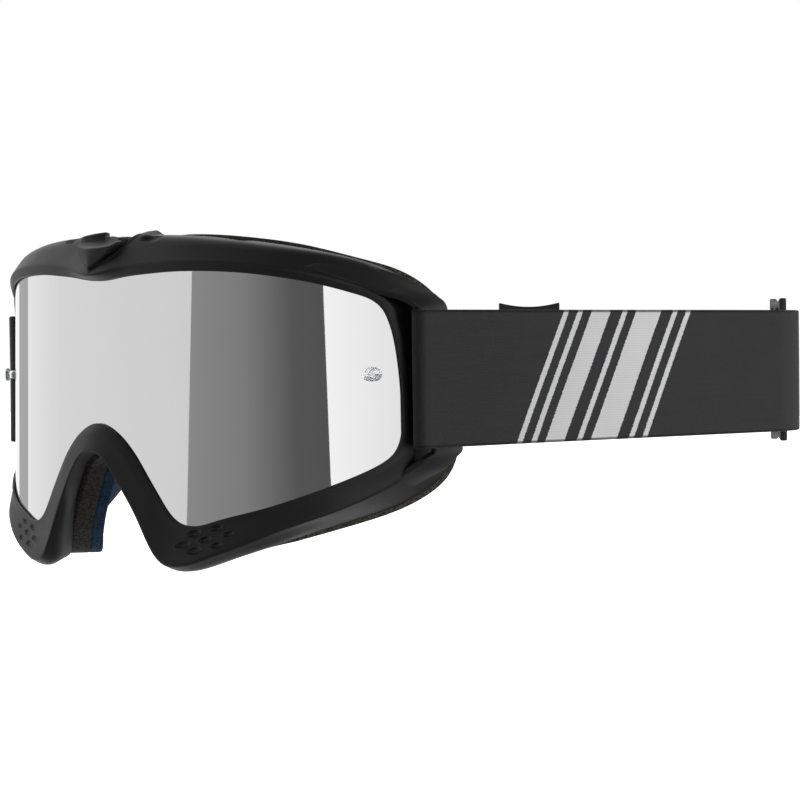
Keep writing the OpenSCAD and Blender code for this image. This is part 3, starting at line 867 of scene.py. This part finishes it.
def webbing_mesh(name, path, width, thick, from_both_ends=False, wave=0.0):
    """Webbing along a plan path, with a UV map in millimetres along and across."""
    length, normal = along_path(path)
    section = webbing_section(width, thick)
    rows = []
    for depth, z in section:
        drift = wave * np.sin(length / 23.0 + 1.3) * np.sin(0.09 * z + length / 41.0)
        p = path + (depth + drift)[:, None] * normal
        rows.append(np.stack([p[:, 0], p[:, 1], np.full(len(path), z)], axis=1))
    piece = grid_mesh(name, level_to_strap(np.array(rows)), wrap_u=False, caps=True)
    along = np.minimum(length, length[-1] - length) if from_both_ends else length
    depths, across = zip(*section)
    lay_uv(piece, along, across, depths)
    return piece


def lay_uv(piece, along, across, depths=None):
    """UV map in millimetres for a mesh made by grid_mesh. With depths, the faces next to the
    head are moved along it, clear of the print."""
    cols = len(along)
    index = np.zeros(len(piece.data.loops), int)
    piece.data.loops.foreach_get("vertex_index", index)
    u, v = np.asarray(along)[index % cols], np.asarray(across)[index // cols]
    if depths is not None:
        u = u + PLAIN_SIDE * inner_faces(piece, np.asarray(depths)[index // cols])
    uv = piece.data.uv_layers.new(name="UVMap")
    uv.data.foreach_set("uv", np.stack([u, v], axis=1).ravel())


def inner_faces(piece, depth):
    """For each face corner, whether its face is on the webbing's inner side."""
    sides = np.array([len(face.vertices) for face in piece.data.polygons])
    face = np.repeat(np.arange(len(sides)), sides)
    return (np.bincount(face, weights=depth) / sides < 0)[face]


def across_fold(piece):
    """Bakes the piece's placement into its mesh."""
    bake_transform(piece)


webbing = webbing_mesh("strap_webbing", outer_path(), STRAP_W, STRAP_T, from_both_ends=True, wave=0.12)
webbing.data.materials.append(WEBBING)
across_fold(webbing)
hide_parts("strap_band", "strap_loop_left", "strap_loop_right")


def inner_path(side, step=2.0):
    """The inner layer: from behind the fold to just before the slider."""
    o = STRAP_T + LAYER_GAP + STRAP_T / 2
    start_y = FOLD_Y + FOLD_R + FOLD_RUN
    y = np.arange(start_y, TURN_Y, step)
    gap = (2 * FOLD_R - STRAP_T / 2 - o) * (1 - step_up(y, start_y, 116))
    path = np.concatenate([
        np.stack([side_x(y) - o - gap, y], axis=1),
        arc_points((STRAP_X - TURN_R, TURN_Y), TURN_R - o, 0, math.radians(26), step)])
    return path * [side, 1]


for side, word in ((1, "left"), (-1, "right")):
    layer = webbing_mesh(f"strap_return_{word}_webbing", inner_path(side), STRAP_W - 1.2, STRAP_T)
    dress(layer, SHADED_WEBBING, "strap")
    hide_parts(f"strap_return_{word}")


# ---- sliders --------------------------------------------------------------------------------
SLIDER_O = STRAP_T + LAYER_GAP   # depth of the slider's front behind the strap's outer face
SLOT_W, SLOT_H, BAR_W = 7.0, 46.4, 3.0
END_DIP = 1.7         # hollow in the slider's upper and lower ends
SUNK = 0.7            # how far the centre bar stands back, for the webbing round it
CENTRE_W = SLIDER_L - 2 * BAR_W - 2 * SLOT_W


def at_slider(points, side):
    """Slider coordinates (X outward, Y back along the strap, Z up) to lens coordinates."""
    p = np.asarray(points, float)
    c, s = math.cos(TURN_A), math.sin(TURN_A)
    x = SLIDER_MID[0] + c * p[..., 0] - s * p[..., 1]
    y = SLIDER_MID[1] + s * p[..., 0] + c * p[..., 1]
    return level_to_strap(np.stack([side * x, y, p[..., 2]], axis=-1))


def in_slider(y, z):
    """Whether a point of the slider's face is plate, not slot."""
    return abs(z) > SLOT_H / 2 or not (CENTRE_W / 2 < abs(y) < SLIDER_L / 2 - BAR_W)


def slider_point(y, z, front):
    """A point of the plate's front or back, with the ends hollowed."""
    sunk = abs(y) <= CENTRE_W / 2 and abs(z) <= SLOT_H / 2 - 0.01
    hollow = END_DIP * (1 - (2 * y / SLIDER_L) ** 2)
    share = max(0.0, abs(z) - SLOT_H / 2) / ((SLIDER_H - SLOT_H) / 2)
    depth = (SUNK if sunk else 0.0) if front else SLIDER_T
    return -SLIDER_O - depth, y, z - math.copysign(hollow, z) * share


def even_steps(a, b, n):
    return [a + (b - a) * k / n for k in range(n)]


def slider_piece(side, word):
    """Tri-glide slider: a plate with two slots, rounded edges and hollowed ends."""
    bm = bmesh.new()
    ys = [-SLIDER_L / 2, -SLIDER_L / 2 + BAR_W, -CENTRE_W / 2, CENTRE_W / 2,
          SLIDER_L / 2 - BAR_W, SLIDER_L / 2]
    zs = [-SLIDER_H / 2, -SLOT_H / 2, SLOT_H / 2, SLIDER_H / 2]
    y_all = sum((even_steps(a, b, 4) for a, b in zip(ys, ys[1:])), []) + [ys[-1]]
    z_all = sum((even_steps(a, b, n) for a, b, n in zip(zs, zs[1:], (2, 16, 2))), []) + [zs[3]]
    layers = [{(i, j): bm.verts.new(slider_point(y, z, front))
               for i, y in enumerate(y_all) for j, z in enumerate(z_all)}
              for front in (True, False)]
    cells = {(i, j) for i in range(len(y_all) - 1) for j in range(len(z_all) - 1)
             if in_slider(0.5 * (y_all[i] + y_all[i + 1]), 0.5 * (z_all[j] + z_all[j + 1]))}
    for i, j in sorted(cells):
        corners = [(i, j), (i + 1, j), (i + 1, j + 1), (i, j + 1)]
        bm.faces.new([layers[0][c] for c in corners])
        bm.faces.new([layers[1][c] for c in reversed(corners)])
        for k, (di, dj) in enumerate(((0, -1), (1, 0), (0, 1), (-1, 0))):
            if (i + di, j + dj) not in cells:
                a, b = corners[k], corners[(k + 1) % 4]
                bm.faces.new([layers[0][a], layers[1][a], layers[1][b], layers[0][b]])
    bmesh.ops.delete(bm, geom=[v for v in bm.verts if not v.link_faces], context="VERTS")
    bmesh.ops.recalc_face_normals(bm, faces=bm.faces)
    sharp = [e for e in bm.edges if e.calc_face_angle(0) > math.radians(50)]
    bmesh.ops.bevel(bm, geom=sharp, offset=0.55, segments=3, profile=0.5, affect="EDGES")
    points = np.array([v.co for v in bm.verts])
    for v, p in zip(bm.verts, to_row(at_slider(points, side))):
        v.co = p
    return bmesh_piece(f"slider_{word}_plate", bm)


def tab_path():
    """Loop of webbing round the slider's centre bar, sewn on to the strap's inner face."""
    inner = -(SLIDER_O + SLIDER_T + 0.2 + 0.6)
    outer = -(SLIDER_O + 0.1 + 0.6)
    r = (outer - inner) / 2
    start = -17.0
    pts = [[inner, start]]
    pts += run_points([inner, start], [inner, CENTRE_W / 2 + 0.5], 1.2).tolist()
    pts += arc_points(((inner + outer) / 2, CENTRE_W / 2 + 0.5), r, math.pi, 0, 0.35).tolist()
    pts += run_points([outer, CENTRE_W / 2 + 0.5], [outer, -CENTRE_W / 2 - 1.0], 0.8).tolist()
    return pts


def tab_piece(side, word):
    """The sewn loop: a ribbon of webbing whose front end is stitched to the strap."""
    path = np.array(tab_path())
    length, normal = along_path(path)
    h = SLOT_H / 2 - 1.2
    rows = []
    across = []
    for t in (-0.6, 0.6):
        zs = np.linspace(-h, h, 12) * (1 if t < 0 else -1)
        for z in zs:
            edge = path + t * normal
            rows.append(np.stack([edge[:, 0], edge[:, 1], np.full(len(path), z)], axis=1))
            across.append(z)
    grid = at_slider(np.array(rows), side)
    piece = grid_mesh(f"slider_{word}_webbing_loop", grid, wrap_u=False, caps=True)
    lay_uv(piece, length, across)
    return piece


for side, word in ((1, "left"), (-1, "right")):
    plate = slider_piece(side, word)
    dress(plate, SLIDER_PLASTIC, f"slider_{word}")
    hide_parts(f"slider_{word}")
    tab = tab_piece(side, word)
    dress(tab, SHADED_WEBBING, f"slider_{word}")
    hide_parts(f"slider_tab_{word}")


# ---- silicone grip lines and vent filters ---------------------------------------------------
def grip_line(k, z):
    """A bead of silicone with a half-round section along the inside of the strap's back."""
    a = np.linspace(TURN_A + math.radians(15), math.pi - TURN_A - math.radians(15), 60)
    rows = []
    end = np.minimum(1, np.minimum(a - a[0], a[-1] - a) * REAR_R / 1.4)
    swell = np.sqrt(np.clip(1 - (1 - end) ** 2, 0.02, 1))
    for b in np.linspace(0, math.pi, 9):
        half = 1.5 * swell
        r = REAR_R - STRAP_T - 0.06 - 0.5 * np.sin(b) * swell
        rows.append(np.stack([r * np.cos(a), REAR_Y + r * np.sin(a), z + half * math.cos(b)], axis=1))
    return grid_mesh(f"grip_line_{k}", level_to_strap(np.array(rows)), wrap_u=False, caps=True)


beads = [dress(grip_line(k, z), SILICONE, "strap") for k, z in enumerate((-12, 0, 12))]
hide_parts("grip_lines")


for node in ("vent_filter_top", "vent_filter_left", "vent_filter_right"):
    filter_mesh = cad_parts[node].data
    filter_mesh.materials.clear()
    filter_mesh.materials.append(FILTER_FOAM)


# ---- camera -----------------------------------------------------------------------------------
EYE = (802.4, -805.0, 6.7)
AZIMUTH = math.radians(39.904)
DOWN = math.radians(0.349)

camera = bpy.data.objects.new("camera", bpy.data.cameras.new("camera"))
scene.collection.objects.link(camera)
camera.location = to_row(EYE)
camera.rotation_euler = (math.pi / 2 - DOWN, 0, AZIMUTH)
camera.data.lens = 154.68
camera.data.sensor_width = 36
camera.data.clip_start = 0.01
scene.camera = camera


# ---- studio -----------------------------------------------------------------------------------
def srgb(level):
    c = level / 255.0
    return c / 12.92 if c <= 0.04045 else ((c + 0.055) / 1.055) ** 2.4


def glow(name, low, high):
    """Emissive material that grades from one grey level to another along the card's UV."""
    n = Nodes(name)
    for link in list(n.tree.links):
        n.tree.links.remove(link)
    light = n.new("ShaderNodeEmission")
    uv = n.new("ShaderNodeSeparateXYZ")
    n.link(n.place("UV"), uv.inputs[0])
    value = n.mix(uv.outputs[0], (srgb(low),) * 3, (srgb(high),) * 3)
    n.link(value, light.inputs["Color"])
    out = n.tree.nodes["Material Output"]
    n.link(light.outputs[0], out.inputs["Surface"])
    return n.mat


# What the mirror sees, by direction round the goggles in degrees: where each card starts
# and ends, its grey at each end, and how its end edge leans in degrees per metre of height
CARDS = (
    (-180.0, -113.0, 254, 254, 0.0), (-113.0, -98.0, 172, 171, 0.0),
    (-98.0, -70.0, 238, 223, 0.0), (-70.0, -1.4, 222, 213, 8.2),
    (-1.4, 20.0, 141, 129, 0.0), (20.0, 41.0, 129, 88, -9.0), (41.0, 53.6, 88, 84, -15.0),
    (53.6, 83.0, 252, 234, 0.0), (83.0, 180.0, 232, 232, 0.0),
)
CARD_R = 2.5
CARD_LOW, CARD_HIGH, CARD_MID = -1.0, 1.2, 0.02


def card(k, a0, a1, g0, g1, lean0, lean1):
    """An upright curved card round the goggles that only the mirror sees."""
    n = 24
    verts = []
    for z in (CARD_LOW, CARD_HIGH):
        rise = z - CARD_MID
        a = np.radians(np.linspace(a0 + lean0 * rise, a1 + lean1 * rise, n + 1))
        verts += [(px, py, z) for px, py in zip(CARD_R * np.sin(a), -CARD_R * np.cos(a) - 0.1)]
    faces = [(i, i + 1, n + 2 + i, n + 1 + i) for i in range(n)]
    mesh = bpy.data.meshes.new(f"card_{k}")
    mesh.from_pydata(verts, [], faces)
    uv = mesh.uv_layers.new(name="UVMap")
    index = np.zeros(len(mesh.loops), int)
    mesh.loops.foreach_get("vertex_index", index)
    u = (index % (n + 1)) / n
    uv.data.foreach_set("uv", np.stack([u, 0 * u], axis=1).ravel())
    piece = bpy.data.objects.new(f"card_{k}", mesh)
    scene.collection.objects.link(piece)
    mesh.materials.append(glow(f"card_{k}", g0, g1))
    for flag in ("visible_camera", "visible_shadow", "visible_diffuse"):
        setattr(piece, flag, False)


leans = [0.0] + [row[4] for row in CARDS]
for k, row in enumerate(CARDS):
    card(k, *row[:4], leans[k], leans[k + 1])


FLOOR_Z = -0.002      # clear of the soft lower edge, which bellies just below zero


def floor_piece():
    bpy.ops.mesh.primitive_plane_add(size=8, location=(0, 0, FLOOR_Z))
    floor = bpy.context.object
    floor.name = "studio_floor"
    n = Nodes("studio_floor")
    pale = n.mix(n.noise(6.0), (0.92,) * 3, (0.95,) * 3)
    n.put(n.shader.inputs["Emission Color"], pale)
    floor.data.materials.append(n.finish(pale, 0.9, Emission_Strength=1.1))
    floor.visible_glossy = False
    floor.visible_diffuse = False


floor_piece()


def area_light(name, place, aim, size, watts):
    data = bpy.data.lights.new(name, "AREA")
    data.size, data.energy = size, watts
    light = bpy.data.objects.new(name, data)
    scene.collection.objects.link(light)
    light.location = place
    light.rotation_euler = (Vector(aim) - Vector(place)).to_track_quat("-Z", "Y").to_euler()
    light.visible_glossy = False


area_light("key_light", (-1.5, -0.4, 0.5), (0, -0.1, 0.05), 0.9, 13)
area_light("side_light", (0.62, 0.12, 0.12), (0.095, 0.02, 0.06), 0.3, 2.2)


# World light by direction: (axis, from, to, strength at each end)
WORLD_RAMPS = (
    ("Z", 0.1, 0.9, 0.02, 0.14), ("Z", -0.1, -0.8, 0.0, 0.20), ("X", 0.1, -0.9, 0.0, 1.1),
)


def studio_world():
    """White behind the object. Its light comes from above and from the wearer's right."""
    world = bpy.data.worlds.new("studio_room")
    world.use_nodes = True
    tree = world.node_tree
    back = tree.nodes["Background"]
    back.inputs["Color"].default_value = (1, 1, 1, 1)
    place = tree.nodes.new("ShaderNodeTexCoord")
    axes = tree.nodes.new("ShaderNodeSeparateXYZ")
    tree.links.new(place.outputs["Generated"], axes.inputs[0])
    total = None
    for axis, low, high, dim, bright in WORLD_RAMPS:
        ramp = tree.nodes.new("ShaderNodeMapRange")
        ramp.interpolation_type = "SMOOTHSTEP"
        for socket, value in zip(ramp.inputs[1:5], (low, high, dim, bright)):
            socket.default_value = value
        tree.links.new(axes.outputs[axis], ramp.inputs[0])
        add = tree.nodes.new("ShaderNodeMath")
        tree.links.new(ramp.outputs[0], add.inputs[0])
        if total:
            tree.links.new(total, add.inputs[1])
        else:
            add.inputs[1].default_value = 0.0
        total = add.outputs[0]
    path = tree.nodes.new("ShaderNodeLightPath")
    seen = tree.nodes.new("ShaderNodeMix")
    tree.links.new(path.outputs["Is Camera Ray"], seen.inputs["Factor"])
    tree.links.new(total, seen.inputs["A"])
    seen.inputs["B"].default_value = 1.0
    tree.links.new(seen.outputs["Result"], back.inputs["Strength"])
    return world


world = studio_world()
scene.world = world
scene.view_settings.view_transform = "Standard"
